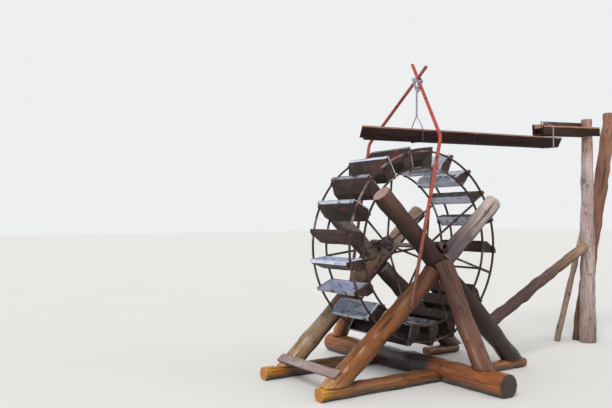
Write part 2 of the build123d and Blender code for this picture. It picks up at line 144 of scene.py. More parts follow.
def ramp(tree, share, stops):
    made = node(tree, "ShaderNodeValToRGB", {0: share})
    points = made.color_ramp.elements
    while len(points) < len(stops):
        points.new(0.5)
    for point, (place, color) in zip(points, stops):
        point.position = place
        point.color = color
    return made.outputs[0]


def ownPlace(tree):
    return node(tree, "ShaderNodeTexCoord").outputs["Object"]


def separated(tree, vector):
    return node(tree, "ShaderNodeSeparateXYZ", {0: vector}).outputs


def readAttribute(tree, name):
    return node(tree, "ShaderNodeAttribute", attribute_name=name).outputs["Fac"]


def readVector(tree, name):
    return node(tree, "ShaderNodeAttribute", attribute_name=name).outputs["Vector"]


def startGroup(name, inputs, outputs):
    tree = bpy.data.node_groups.new(name, "ShaderNodeTree")
    for label, kind, value in inputs:
        socket = tree.interface.new_socket(name=label, in_out="INPUT", socket_type="NodeSocket" + kind)
        socket.default_value = value
    for label, kind in outputs:
        tree.interface.new_socket(name=label, in_out="OUTPUT", socket_type="NodeSocket" + kind)
    return tree, tree.nodes.new("NodeGroupInput").outputs, tree.nodes.new("NodeGroupOutput").inputs


def startMaterial(name):
    material = bpy.data.materials.new(name)
    material.use_nodes = True
    tree = material.node_tree
    return material, tree, tree.nodes["Principled BSDF"]


def useGroup(tree, group, inputs):
    return node(tree, "ShaderNodeGroup", inputs, node_tree=group).outputs


def bumped(tree, shader, height, strength, distance):
    made = node(tree, "ShaderNodeBump", {"Strength": strength, "Distance": distance, "Height": height})
    tree.links.new(made.outputs[0], shader.inputs["Normal"])


def makeRoom():
    selectNone()
    size, drop = room["floorSize"], room["floorDrop"]
    bpy.ops.mesh.primitive_grid_add(x_subdivisions=4, y_subdivisions=4, size=size, location=(0, 0, -drop))
    floor = bpy.context.object
    floor.name = "studioFloor"
    material, tree, shader = startMaterial("paleFloor")
    place = ownPlace(tree)
    patches = noiseOf(tree, place, 0.7, 3.0)
    edges = [tone(room["floorColor"]), tone([c - 5 for c in room["floorColor"]])]
    tree.links.new(blendColors(tree, patches, *edges), shader.inputs["Base Color"])
    shader.inputs["Roughness"].default_value = 0.9
    floor.data.materials.append(material)

    world = bpy.context.scene.world or bpy.data.worlds.new("studio")
    bpy.context.scene.world = world
    world.use_nodes = True
    tree = world.node_tree
    tree.nodes.clear()
    seen = node(tree, "ShaderNodeBackground", {"Color": tone(room["skyColor"]), "Strength": 1.0})
    lit = node(tree, "ShaderNodeBackground", {"Color": (1, 1, 1, 1), "Strength": room["skyLight"]})
    path = node(tree, "ShaderNodeLightPath").outputs
    direct = calc(tree, "MAXIMUM", path["Is Camera Ray"], path["Is Glossy Ray"])
    mixed = node(tree, "ShaderNodeMixShader", {0: direct, 1: lit.outputs[0], 2: seen.outputs[0]})
    out = node(tree, "ShaderNodeOutputWorld")
    tree.links.new(mixed.outputs[0], out.inputs[0])

    for label in ("key", "fill", "side"):
        angles = [math.radians(angle) for angle in room[label + "Turn"]]
        bpy.ops.object.light_add(type="SUN", location=(0, 0, 6), rotation=angles)
        lamp = bpy.context.object
        lamp.name = label + "Lamp"
        lamp.data.energy = room[label + "Light"]
        lamp.data.angle = math.radians(room["lightSpread"])


def makeCamera():
    bpy.ops.object.camera_add()
    camera = bpy.context.object
    camera.data.lens = view["lens"]
    camera.data.sensor_width = 36.0
    yaw, pitch, roll = (math.radians(view[key]) for key in ("yaw", "pitch", "roll"))
    turn = Matrix.Rotation(-yaw, 4, "Z") @ Matrix.Rotation(math.pi / 2 + pitch, 4, "X")
    camera.matrix_world = Matrix.Translation(view["place"]) @ turn @ Matrix.Rotation(roll, 4, "Z")
    bpy.context.scene.camera = camera


makeRoom()
makeCamera()
bpy.context.scene.view_settings.view_transform = "Standard"
print("room and camera ready")

# Shader groups. Wood reads the grain attribute: two lengths across and one along the piece.


def buildWoodGroup():
    inputs = [
        ("Light", "Color", (0.4, 0.3, 0.2, 1)),
        ("Dark", "Color", (0.1, 0.07, 0.05, 1)),
        ("Crack", "Color", (0.02, 0.015, 0.01, 1)),
        ("Cracking", "Float", 0.6),
        ("Specks", "Float", 0.2),
    ]
    outputs = [("Color", "Color"), ("Height", "Float"), ("Groove", "Float")]
    tree, given, out = startGroup("weatheredWood", inputs, outputs)
    grain = readVector(tree, "grain")
    fibre = noiseOf(tree, stretched(tree, grain, (85, 85, 3.2)), 1.0, 5.0, 0.62)
    cloud = noiseOf(tree, stretched(tree, grain, (9, 9, 1.6)), 1.0, 3.0, 0.55)
    specks = between(tree, noiseOf(tree, stretched(tree, grain, (60, 60, 22)), 1.0, 2.0), 0.6, 0.72)
    drift = node(tree, "ShaderNodeTexNoise", {"Vector": grain, "Scale": 5.0, "Detail": 2.0}).outputs[1]
    moved = node(tree, "ShaderNodeVectorMath", {0: grain, 1: stretched(tree, drift, (0.05, 0.05, 0.1))})
    lines = {"Vector": stretched(tree, moved.outputs[0], (34, 34, 1.1)), "Scale": 1.0}
    edge = node(tree, "ShaderNodeTexVoronoi", lines, feature="DISTANCE_TO_EDGE").outputs["Distance"]
    line = between(tree, edge, 0.005, 0.07, 1.0, 0.0)
    broken = between(tree, noiseOf(tree, stretched(tree, grain, (14, 14, 2.6)), 1.0, 3.0), 0.46, 0.62)
    groove = times(tree, times(tree, line, broken), given["Cracking"])
    share = between(tree, plus(tree, fibre, times(tree, cloud, 0.9)), 0.66, 1.2)
    wood = blendColors(tree, share, given["Dark"], given["Light"])
    wood = blendColors(tree, times(tree, specks, given["Specks"]), wood, given["Crack"])
    tree.links.new(blendColors(tree, groove, wood, given["Crack"]), out["Color"])
    raised = plus(tree, times(tree, fibre, 0.45), times(tree, cloud, 0.35))
    tree.links.new(calc(tree, "SUBTRACT", raised, groove), out["Height"])
    tree.links.new(groove, out["Groove"])
    return tree


def buildSawnEndGroup():
    inputs = [("Light", "Color", (0.6, 0.45, 0.3, 1)), ("Dark", "Color", (0.3, 0.2, 0.12, 1))]
    tree, given, out = startGroup("sawnEnd", inputs, [("Color", "Color"), ("Height", "Float")])
    grain = readVector(tree, "grain")
    parts = separated(tree, grain)
    flat = node(tree, "ShaderNodeCombineXYZ", {0: parts[0], 1: parts[1]}).outputs[0]
    wander = times(tree, noiseOf(tree, flat, 14.0, 3.0), 0.02)
    reach = node(tree, "ShaderNodeVectorMath", {0: flat}, operation="LENGTH").outputs["Value"]
    rings = calc(tree, "SINE", times(tree, plus(tree, reach, wander), 620.0))
    turned = calc(tree, "ARCTAN2", parts[0], parts[1])
    spread = node(tree, "ShaderNodeCombineXYZ", {0: times(tree, turned, 4.0)}).outputs[0]
    split = between(tree, noiseOf(tree, spread, 1.3, 1.0), 0.62, 0.66)
    share = calc(tree, "ADD", times(tree, rings, 0.22), noiseOf(tree, flat, 30.0, 4.0), True)
    sawn = blendColors(tree, share, given["Dark"], given["Light"])
    tree.links.new(blendColors(tree, times(tree, split, 0.6), sawn, given["Dark"]), out["Color"])
    tree.links.new(calc(tree, "SUBTRACT", times(tree, rings, 0.2), split), out["Height"])
    return tree


def buildRustGroup():
    inputs = [
        ("Clean", "Color", (0.5, 0.5, 0.52, 1)),
        ("Rust", "Color", (0.12, 0.05, 0.02, 1)),
        ("Amount", "Float", 0.4),
        ("Size", "Float", 9.0),
    ]
    outputs = [("Color", "Color"), ("Height", "Float"), ("Mask", "Float")]
    tree, given, out = startGroup("rustPatches", inputs, outputs)
    place = ownPlace(tree)
    big = noiseOf(tree, place, given["Size"], 7.0, 0.5)
    pits = noiseOf(tree, place, 160.0, 3.0)
    level = calc(tree, "SUBTRACT", 0.86, times(tree, given["Amount"], 0.72))
    start = calc(tree, "SUBTRACT", level, 0.07)
    full = plus(tree, level, 0.05)
    mask = between(tree, plus(tree, big, times(tree, pits, 0.12)), start, full)
    pitted = blendColors(tree, 1.0, given["Rust"], (0.45, 0.4, 0.38, 1), "MULTIPLY")
    deep = blendColors(tree, between(tree, pits, 0.35, 0.7), given["Rust"], pitted)
    worn = blendColors(tree, between(tree, big, 0.35, 0.7), given["Clean"], (0.9, 0.9, 0.9, 1), "MULTIPLY")
    tree.links.new(blendColors(tree, mask, worn, deep), out["Color"])
    tree.links.new(times(tree, mask, plus(tree, pits, 0.3)), out["Height"])
    tree.links.new(mask, out["Mask"])
    return tree


woodGroup = buildWoodGroup()
sawnGroup = buildSawnEndGroup()
rustGroup = buildRustGroup()


def woodMaterial(name, look):
    # Colours change along the piece, with painted shade where the skin looks down, knots, cracks and sawn
    # ends
    material, tree, shader = startMaterial(name)
    reach = readAttribute(tree, "reach")
    tones = ramp(tree, reach, [(place, tone(color)) for place, color in look["tones"]])
    shade = look.get("shade", 0.45)
    dark = blendColors(tree, 1.0, tones, (shade, shade * 0.94, shade * 0.9, 1), "MULTIPLY")
    crack = tone(look.get("crack", (38, 24, 18)))
    wood = {"Light": tones, "Dark": dark, "Crack": crack, "Cracking": look.get("cracking", 0.7)}
    skin = useGroup(tree, woodGroup, {**wood, "Specks": look.get("specks", 0.2)})
    color = skin["Color"]
    if "band" in look:
        place, bandTone = look["band"]
        grain = readVector(tree, "grain")
        ragged = times(tree, noiseOf(tree, stretched(tree, grain, (20, 20, 6)), 1.0, 4.0), 0.16)
        rise = plus(tree, readAttribute(tree, "rise"), calc(tree, "SUBTRACT", ragged, 0.08))
        share = times(tree, between(tree, rise, place - 0.03, place + 0.04), 0.9)
        color = blendColors(tree, share, color, tone(bandTone))
    # painted shade: faces that look down are darkened towards a dark tone, standing in for the shadow beneath
    # each piece
    under = times(tree, readAttribute(tree, "under"), look.get("underside", 1.2))
    color = blendColors(tree, under, color, tone(look.get("underTone", (40, 27, 18))))
    knot = readAttribute(tree, "knot")
    color = blendColors(tree, times(tree, knot, 0.75), color, crack)
    split = readAttribute(tree, "split")
    color = blendColors(tree, times(tree, split, 0.9), color, crack)
    ends = look.get("ends", (150, 110, 80))
    sawn = useGroup(tree, sawnGroup, {"Light": tone(ends), "Dark": tone([c * 0.55 for c in ends])})
    cut = readAttribute(tree, "cut")
    tree.links.new(blendColors(tree, cut, color, sawn["Color"]), shader.inputs["Base Color"])
    height = plus(tree, skin["Height"], times(tree, sawn["Height"], cut))
    bumped(tree, shader, height, 0.75, look.get("relief", 0.005))
    height = separated(tree, ownPlace(tree))[2]
    low, high = look.get("wet", (-1.0, -0.5))
    damp = between(tree, height, low, high, 0.24, 0.82)
    rough = plus(tree, damp, times(tree, skin["Groove"], 0.1))
    tree.links.new(rough, shader.inputs["Roughness"])
    shader.inputs["Specular IOR Level"].default_value = look.get("specular", 0.4)
    return material


def metalMaterial(name, look):
    material, tree, shader = startMaterial(name)
    given = {
        "Clean": tone(look["clean"]),
        "Rust": tone(look["rust"]),
        "Amount": look["amount"],
        "Size": look.get("size", 9.0),
    }
    if "lowRustAndShadeTone" in look:    # darker low down, partly rust and partly painted shade: the height where the tone is reached, where it starts, and the tone
        low, high, color = look["lowRustAndShadeTone"]
        height = separated(tree, ownPlace(tree))[2]
        given["Clean"] = blendColors(tree, between(tree, height, low, high), tone(color), given["Clean"])
    skin = useGroup(tree, rustGroup, given)
    tree.links.new(skin["Color"], shader.inputs["Base Color"])
    sheen, dull = look.get("gloss", (0.38, 0.8))
    tree.links.new(between(tree, skin["Mask"], 0.0, 1.0, sheen, dull), shader.inputs["Roughness"])
    bare = look.get("metallic", 0.6)
    tree.links.new(between(tree, skin["Mask"], 0.0, 1.0, bare, 0.0), shader.inputs["Metallic"])
    bumped(tree, shader, skin["Height"], 0.5, 0.002)
    return material


print("shader groups ready")

# What the pieces share


def newObject(name, data):
    piece = bpy.data.objects.new(name, data)
    bpy.context.scene.collection.objects.link(piece)
    return piece


def editAll(piece):  # opens edit mode with everything selected
    only(piece)
    bpy.ops.object.mode_set(mode="EDIT")
    bpy.ops.mesh.select_all(action="SELECT")


def leaveEdit():
    bpy.ops.object.mode_set(mode="OBJECT")


def applyModifiers(piece):
    only(piece)
    for modifier in list(piece.modifiers):
        bpy.ops.object.modifier_apply(modifier=modifier.name)


def bevelEdges(piece, width, segments=1, angle=None):
    bevel = piece.modifiers.new("bevel", "BEVEL")
    bevel.width = width
    bevel.segments = segments
    if angle:    # degrees between two faces, past which their edge is bevelled
        bevel.limit_method = "ANGLE"
        bevel.angle_limit = math.radians(angle)


def settle(edge):  # puts the new primitive's place into its mesh and breaks its edges
    piece = bpy.context.object
    bpy.ops.object.transform_apply(location=True, rotation=True, scale=True)
    bevelEdges(piece, edge)
    applyModifiers(piece)
    return piece


def joined(parts):
    selectNone()
    for part in parts:
        part.select_set(True)
    bpy.context.view_layer.objects.active = parts[0]
    bpy.ops.object.join()
    return bpy.context.object


def coat(nodeName, material):  # for a CAD node that is shown as it is
    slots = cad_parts[nodeName].data.materials
    slots.clear()
    slots.append(material)


def hand(piece, material, body, slot, *nodes):  # gives a finished piece its finish and its body
    piece.data.materials.clear()
    piece.data.materials.append(material)
    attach(piece, body)
    if nodes:
        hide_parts(*nodes)


def readPoints(mesh, what="co"):
    values = np.zeros(len(mesh.vertices) * 3)
    mesh.vertices.foreach_get(what, values)
    return values.reshape(-1, 3)


def writePoints(mesh, points):
    mesh.vertices.foreach_set("co", points.ravel())
    mesh.update()


def writeAttributes(mesh, **lists):  # each list has a number or a vector for every point
    for name, values in lists.items():
        kind, field = ("FLOAT_VECTOR", "vector") if values.ndim == 2 else ("FLOAT", "value")
        mesh.attributes.new(name, kind, "POINT").data.foreach_set(field, values.ravel())


def ownAxes(points):  # across, across, along: from the way that the points spread
    middle = points.mean(0)
    few = points[::max(1, len(points) // 4000)]
    spread = np.linalg.svd(few - middle, full_matrices=False)[2]
    along, wide = spread[0], spread[1]
    upward = np.array((0.1, -0.05, 1.0))  # tilted, so that level pieces have a first end too
    if along @ upward < 0:
        along = -along
    if wide[2] < 0:
        wide = -wide
    thin = np.cross(wide, along)
    return middle, np.stack([thin, wide, along])


def underShare(normals):  # 1 where the skin looks down: the share of painted shade there
    return np.clip(-normals[:, 2] * 1.2 - 0.1, 0, 1)


def cutShare(facing):  # 1 on the sawn ends
    return np.clip((np.abs(facing[:, 2]) - 0.6) / 0.2, 0, 1)


# Wooden pieces start from a merged copy of their CAD solid


def copyOf(nodeName, name):
    piece = newObject(name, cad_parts[nodeName].data.copy())
    piece.data.materials.clear()
    only(piece)
    bpy.ops.mesh.customdata_custom_splitnormals_clear()
    editAll(piece)
    bpy.ops.mesh.remove_doubles(threshold=0.00006)
    leaveEdit()
    return piece


logShape = {
    "voxel": 0.009,
    "lump": 0.011,        # how far the skin wanders, in metres
    "lumpSize": 0.16,
    "knotRise": 0.011,
    "knotPit": 0.008,
    "knotWide": (0.016, 0.028),
    "seenWide": 0.022,    # of the knots that stand at known points
    "knotInset": 0.1,     # from the ends to the random knots
    "splitDepth": 0.013,
    "splitLength": (0.25, 0.7),
}


def carveLog(piece, look):
    # Lumps, knots and drying splits, moved into the skin of a remeshed log
    mesh = piece.data
    points, normals = readPoints(mesh), readPoints(mesh, "normal")
    middle, axes = ownAxes(points)
    local = (points - middle) @ axes.T
    facing = normals @ axes.T
    radius = np.hypot(local[:, 0], local[:, 1])
    turned = np.arctan2(local[:, 1], local[:, 0])
    low, high = local[:, 2].min(), local[:, 2].max()
    side = np.clip(1.6 * (1 - np.abs(facing[:, 2])), 0, 1)
    cut = cutShare(facing)
    random.seed(look["seed"])
    knots = np.zeros(len(points))
    splits = np.zeros(len(points))
    push = np.zeros(len(points))
    size = float(np.median(radius))
    knotPlaces = []
    inset = logShape["knotInset"]
    for _ in range(look.get("knots", 3)):
        place = random.uniform(low + inset, high - inset)
        angle = random.uniform(-math.pi, math.pi)
        knotPlaces.append((place, angle, random.uniform(*logShape["knotWide"])))
    for spot in look.get("seen", []):    # knots at known points of the skin
        x, y, z = axes @ (np.array(spot) - middle)
        knotPlaces.append((z, math.atan2(y, x), logShape["seenWide"]))
    for place, angle, wide in knotPlaces:
        apart = np.angle(np.exp(1j * (turned - angle))) * size
        away = np.hypot(apart, (local[:, 2] - place) * 0.7)
        push += side * logShape["knotRise"] * np.exp(-(away / (1.9 * wide)) ** 2)
        push -= side * logShape["knotPit"] * np.exp(-(away / (0.5 * wide)) ** 2)
        knots = np.maximum(knots, np.exp(-(away / (0.75 * wide)) ** 2))
        knots = np.maximum(knots, 0.22 * np.exp(-((away - 1.6 * wide) / (0.3 * wide)) ** 2))
    shortest, longest = logShape["splitLength"]
    for _ in range(look.get("splits", 4)):
        start = random.uniform(low, high - shortest)
        end = start + random.uniform(shortest, longest)
        angle = random.uniform(-math.pi, math.pi)
        wave = random.uniform(5, 9)
        share = np.clip((local[:, 2] - start) / (end - start), 0, 1)
        centre = angle + 0.12 * np.sin(local[:, 2] * wave)
        apart = np.abs(np.angle(np.exp(1j * (turned - centre)))) * size
        taper = np.sin(math.pi * share) ** 0.6
        depth = np.clip(1 - apart / (0.003 + 0.011 * taper), 0, 1) * taper * side
        push -= logShape["splitDepth"] * depth
        splits = np.maximum(splits, depth)
    lift = [noise.noise(Vector(p) / logShape["lumpSize"]) for p in points]
    push += side * look.get("lump", logShape["lump"]) * (np.array(lift) - 0.15)
    points += normals * push[:, None]
    writePoints(mesh, np.clip(points, cadBox[0], cadBox[1]))
    writeAttributes(
        mesh,
        grain=local,
        reach=(local[:, 2] - low) / (high - low),
        under=underShare(normals) * (1 - cut),
        cut=cut,
        knot=knots * (1 - cut),
        split=splits * (1 - cut),
    )


usualWet = (0.0, 1.1)     # a log is wet up to the first height and dry from the second

logLooks = {
    "near_left_log": {
        "tones": [(0.0, (190, 142, 80)), (0.07, (144, 84, 32)), (0.3, (128, 72, 28)), (0.6, (98, 58, 36)),
                  (0.64, (90, 76, 88)), (0.76, (128, 112, 114)), (0.9, (180, 164, 156)),
                  (1.0, (206, 190, 182))],
        "seen": [(0.59, -0.6, 1.72), (0.34, -0.61, 1.45)],
        "ends": (206, 176, 146), "seed": 3, "knots": 4, "splits": 14, "wet": (0.4, 1.5), "shade": 0.36,
    },
    "near_right_log": {
        "tones": [(0.0, (58, 38, 26)), (0.4, (50, 32, 27)), (0.7, (58, 36, 34)), (0.86, (84, 56, 50)),
                  (1.0, (114, 82, 72))],
        "ends": (200, 162, 152), "seed": 8, "knots": 3, "splits": 5, "wet": (0.0, 1.0),
    },
    "far_left_log": {
        # painted light: the tones are lightened to the sunlit top's colour, most at the upper end, where the
        # trays' shadow falls; the strong darkening of faces that look down is painted shade on its lower side
        "tones": [(0.0, (164, 122, 76)), (0.15, (154, 126, 98)), (0.5, (104, 82, 64)), (0.66, (160, 120, 98)),
                  (0.8, (228, 192, 168)), (1.0, (240, 208, 190))],
        "ends": (204, 166, 138), "seed": 12, "knots": 3, "splits": 4, "wet": (0.2, 1.0),
        "underside": 3.0, "underTone": (30, 23, 16),
    },
    "far_right_log": {
        "tones": [(0.0, (84, 56, 38)), (0.5, (96, 72, 60)), (0.8, (150, 134, 128)), (1.0, (206, 196, 190))],
        "ends": (204, 190, 180), "seed": 17, "knots": 3, "splits": 5, "wet": usualWet,
    },
    "near_brace": {
        "tones": [(0.0, (104, 64, 42)), (0.3, (124, 80, 60)), (0.6, (90, 56, 42)), (1.0, (94, 66, 54))],
        "seen": [(-0.09, -0.89, 0.78), (-0.07, -0.97, 0.47)],
        "ends": (160, 112, 84), "seed": 21, "knots": 5, "splits": 5, "wet": (0.2, 1.3), "cracking": 0.5,
    },
    "far_brace": {
        "tones": [(0.0, (190, 116, 54)), (0.3, (150, 92, 46)), (0.5, (110, 68, 44)), (1.0, (96, 62, 46))],
        "ends": (150, 110, 80), "seed": 25, "wet": usualWet,
    },
    "cross_sleeper": {
        # the dark middle is wet wood; its blue-grey tint is a painted sky reflection on the wet stretch
        "tones": [(0.0, (150, 90, 44)), (0.14, (142, 84, 44)), (0.33, (134, 80, 46)), (0.42, (66, 54, 60)),
                  (0.64, (58, 50, 56)), (0.69, (130, 78, 52)), (1.0, (162, 98, 54))],
        "ends": (64, 44, 34), "seed": 31, "knots": 5, "splits": 5, "wet": (0.05, 0.9),
    },
    "near_sill": {
        "tones": [(0.0, (222, 162, 46)), (0.1, (184, 122, 44)), (0.22, (130, 82, 42)), (1.0, (136, 86, 44))],
        "ends": (214, 138, 32), "seed": 37, "splits": 2, "wet": (0.1, 0.9),
    },
    "far_sill": {
        "tones": [(0.0, (222, 160, 42)), (0.1, (180, 116, 40)), (0.22, (104, 70, 42)), (1.0, (100, 68, 42))],
        "ends": (208, 136, 40), "seed": 41, "splits": 2, "wet": (0.1, 0.9),
    },
    "near_foot_pad": {
        "tones": [(0.0, (150, 90, 46)), (1.0, (140, 84, 48))],
        "ends": (160, 108, 64), "seed": 45, "knots": 1, "splits": 1, "wet": (0.1, 0.9),
    },
    "far_foot_pad": {
        "tones": [(0.0, (120, 78, 46)), (1.0, (120, 78, 46))],
        "ends": (150, 100, 60), "seed": 47, "knots": 1, "splits": 1, "wet": (0.1, 0.9),
    },
    "post": {
        "tones": [(0.0, (150, 128, 118)), (0.25, (184, 164, 158)), (0.8, (194, 174, 168)),
                  (0.9, (164, 128, 116)), (1.0, (182, 146, 130))],
        "seen": [(3.09, 0.0, 2.16), (3.12, -0.04, 2.56), (3.09, -0.03, 1.71), (3.1, -0.08, 0.9)],
        "ends": (206, 176, 150), "seed": 53, "knots": 9, "splits": 12, "shade": 0.54, "underside": 0.0,
        "specks": 1.2, "cracking": 0.7, "crack": (58, 40, 36),
    },
    "leaning_log": {
        "tones": [(0.0, (92, 70, 58)), (0.5, (140, 98, 80)), (1.0, (158, 114, 92))],
        "ends": (190, 150, 120), "seed": 59, "knots": 5, "splits": 5, "lump": 0.018,
    },
    "post_brace": {
        "tones": [(0.0, (88, 64, 56)), (0.35, (78, 58, 54)), (0.65, (122, 94, 78)), (1.0, (176, 144, 116))],
        "seen": [(2.44, -0.14, 1.12), (1.02, -0.36, 0.63)],
        "ends": (170, 130, 100), "seed": 61, "knots": 4, "splits": 3,
    },
    "post_prop": {
        "tones": [(0.0, (150, 126, 112)), (0.4, (176, 150, 136)), (1.0, (190, 164, 150))],
        "ends": (200, 170, 150), "seed": 67, "knots": 2, "splits": 2, "lump": 0.008,
    },
}

for nodeName, look in logLooks.items():
    piece = copyOf(nodeName, nodeName + "_wood")
    remesh = piece.modifiers.new("remesh", "REMESH")
    remesh.mode = "VOXEL"
    remesh.voxel_size = logShape["voxel"]
    applyModifiers(piece)
    carveLog(piece, look)
    only(piece)
    bpy.ops.object.shade_smooth()
    hand(piece, woodMaterial(nodeName + "_finish", look), "frame", "log_wood", nodeName)
print("logs carved:", len(logLooks))

# Boards: sawn edges broken, faces a little warped

boardShape = {
    "step": 0.08,         # metres between the cuts that let a board warp
    "edge": 0.0035,
    "warp": 0.0035,
    "chip": 0.002,
}

darkBoard = {
    "tones": [(0.0, (52, 34, 31)), (0.5, (44, 29, 29)), (1.0, (52, 34, 30))],
    "ends": (72, 48, 38), "underside": 0.0, "shade": 0.5,
    "crack": (16, 10, 9), "relief": 0.003, "specular": 0.12,
}
sideBoard = {**darkBoard, "band": (0.86, (158, 124, 108))}    # worn pale along its upper edge
boardLooks = {
    "trough_near_board": sideBoard,
    "trough_far_board": sideBoard,
    "trough_floor": darkBoard,
    "feed_near_board": {**darkBoard, "tones": [(0.0, (76, 54, 42)), (1.0, (48, 34, 28))],
                        "band": (0.84, (176, 132, 108))},
    "feed_far_board": darkBoard,
    "feed_floor": darkBoard,
    "feed_rail": {"tones": [(0.0, (104, 82, 86)), (1.0, (86, 66, 66))], "ends": (150, 110, 96),
                  "underside": 0.0, "relief": 0.003},
    "feed_spreader": {"tones": [(0.0, (178, 134, 124)), (1.0, (160, 120, 112))], "ends": (186, 140, 130),
                      "underside": 0.0, "relief": 0.003},
    "foot_board": {"tones": [(0.0, (150, 130, 126)), (0.5, (168, 150, 148)), (1.0, (156, 136, 130))],
                   "ends": (120, 98, 84), "shade": 0.62, "underside": 0.8, "relief": 0.004},
}


def bisectAlong(piece, along, step):
    points = readPoints(piece.data)
    places = points @ along
    count = max(1, int((places.max() - places.min()) / step))
    only(piece)
    bpy.ops.object.mode_set(mode="EDIT")
    for index in range(1, count):
        place = places.min() + (places.max() - places.min()) * index / count
        bpy.ops.mesh.select_all(action="SELECT")
        bpy.ops.mesh.bisect(plane_co=Vector(along * place), plane_no=Vector(along))
    leaveEdit()


def makeBoard(nodeName, look):
    piece = copyOf(nodeName, nodeName + "_wood")
    editAll(piece)
    bpy.ops.mesh.dissolve_limited(angle_limit=math.radians(1))
    leaveEdit()
    corners = readPoints(piece.data)
    middle, axes = ownAxes(corners)
    bisectAlong(piece, axes[2], boardShape["step"])
    bevelEdges(piece, boardShape["edge"], segments=2, angle=40)
    applyModifiers(piece)
    mesh = piece.data
    points, normals = readPoints(mesh), readPoints(mesh, "normal")
    local = (points - middle) @ axes.T
    facing = normals @ axes.T
    low, high = local.min(0), local.max(0)
    warp = np.array([noise.noise(Vector((p[2] * 1.7, 3.1, 0.4))) for p in local])
    chips = np.array([noise.noise(Vector(p) * 23) for p in local])
    shift = np.outer(warp * boardShape["warp"], axes[0])
    points += shift - normals * (np.abs(chips) * boardShape["chip"])[:, None]
    writePoints(mesh, points)
    writeAttributes(
        mesh,
        grain=local,
        reach=(local[:, 2] - low[2]) / (high[2] - low[2]),
        rise=(local[:, 1] - low[1]) / (high[1] - low[1]),
        under=underShare(normals),
        cut=cutShare(facing),
        knot=np.zeros(len(points)),
        split=np.zeros(len(points)),
    )
    only(piece)
    bpy.ops.object.shade_smooth_by_angle(angle=math.radians(35))
    hand(piece, woodMaterial(nodeName + "_finish", look), "frame", "board_wood", nodeName)


for nodeName, look in boardLooks.items():
    makeBoard(nodeName, look)
print("boards made:", len(boardLooks))

# Metal finishes. The rings, ties, spokes, axle, bearings and bars stay as their CAD nodes.

metalLooks = {
    # rings: the light lilac tone kept on the upper arcs stands in for their glints, a painted highlight, and
    # the dark tone low down is painted shade
    "ringFinish": {"clean": (140, 124, 128), "rust": (62, 42, 37), "amount": 0.52, "size": 5.0,
                   "metallic": 0.3, "gloss": (0.3, 0.75), "lowRustAndShadeTone": (0.9, 1.9, (82, 64, 60))},
    "spokeFinish": {"clean": (104, 96, 96), "rust": (70, 46, 36), "amount": 0.42, "size": 12.0},
    "axleFinish": {"clean": (128, 122, 120), "rust": (84, 56, 42), "amount": 0.4},
    "bearingFinish": {"clean": (52, 44, 42), "rust": (156, 90, 46), "amount": 0.24, "size": 18.0},
    # bars: darker towards their feet, partly rust and partly painted shade
    "nearBarFinish": {"clean": (168, 60, 42), "rust": (122, 54, 42), "amount": 0.3, "size": 26.0,
                      "metallic": 0.0, "gloss": (0.5, 0.8), "lowRustAndShadeTone": (0.9, 2.2, (98, 62, 46))},
    "farBarFinish": {"clean": (146, 60, 50), "rust": (98, 50, 44), "amount": 0.3, "size": 26.0,
                     "metallic": 0.0, "gloss": (0.5, 0.8), "lowRustAndShadeTone": (1.2, 2.4, (112, 56, 44))},
    "fixingFinish": {"clean": (120, 112, 108), "rust": (92, 56, 40), "amount": 0.55, "size": 30.0},
}
finishes = {name: metalMaterial(name, look) for name, look in metalLooks.items()}

carried = {
    "ringFinish": ["near_outer_ring", "near_inner_ring", "far_outer_ring", "far_inner_ring", "bare_ties"],
    "spokeFinish": ["near_spokes", "far_spokes"],
    "axleFinish": ["axle"],
    "bearingFinish": ["near_bearing", "far_bearing"],
    "nearBarFinish": ["near_hanger_bar"],
    "farBarFinish": ["far_hanger_bar"],
}
for finish, names in carried.items():
    for name in names:
        coat(name, finishes[finish])


def webbingMaterial():
    look = {"light": (162, 154, 168), "dark": (112, 104, 118), "dirt": (96, 84, 84), "weave": 150.0}
    material, tree, shader = startMaterial("webbing")
    place = ownPlace(tree)
    threads = {"Vector": place, "Scale": look["weave"], "Distortion": 0.4}
    weave = node(tree, "ShaderNodeTexWave", threads)
    dirt = between(tree, noiseOf(tree, place, 26.0, 4.0), 0.35, 0.7)
    share = times(tree, weave.outputs[1], 0.3)
    color = blendColors(tree, share, tone(look["light"]), tone(look["dark"]))
    color = blendColors(tree, times(tree, dirt, 0.35), color, tone(look["dirt"]))
    tree.links.new(color, shader.inputs["Base Color"])
    shader.inputs["Roughness"].default_value = 0.85
    bumped(tree, shader, weave.outputs[1], 0.4, 0.001)
    return material


coat("feed_strap", webbingMaterial())
print("CAD nodes coated")

# Trays: one folded sheet, copied round the rings

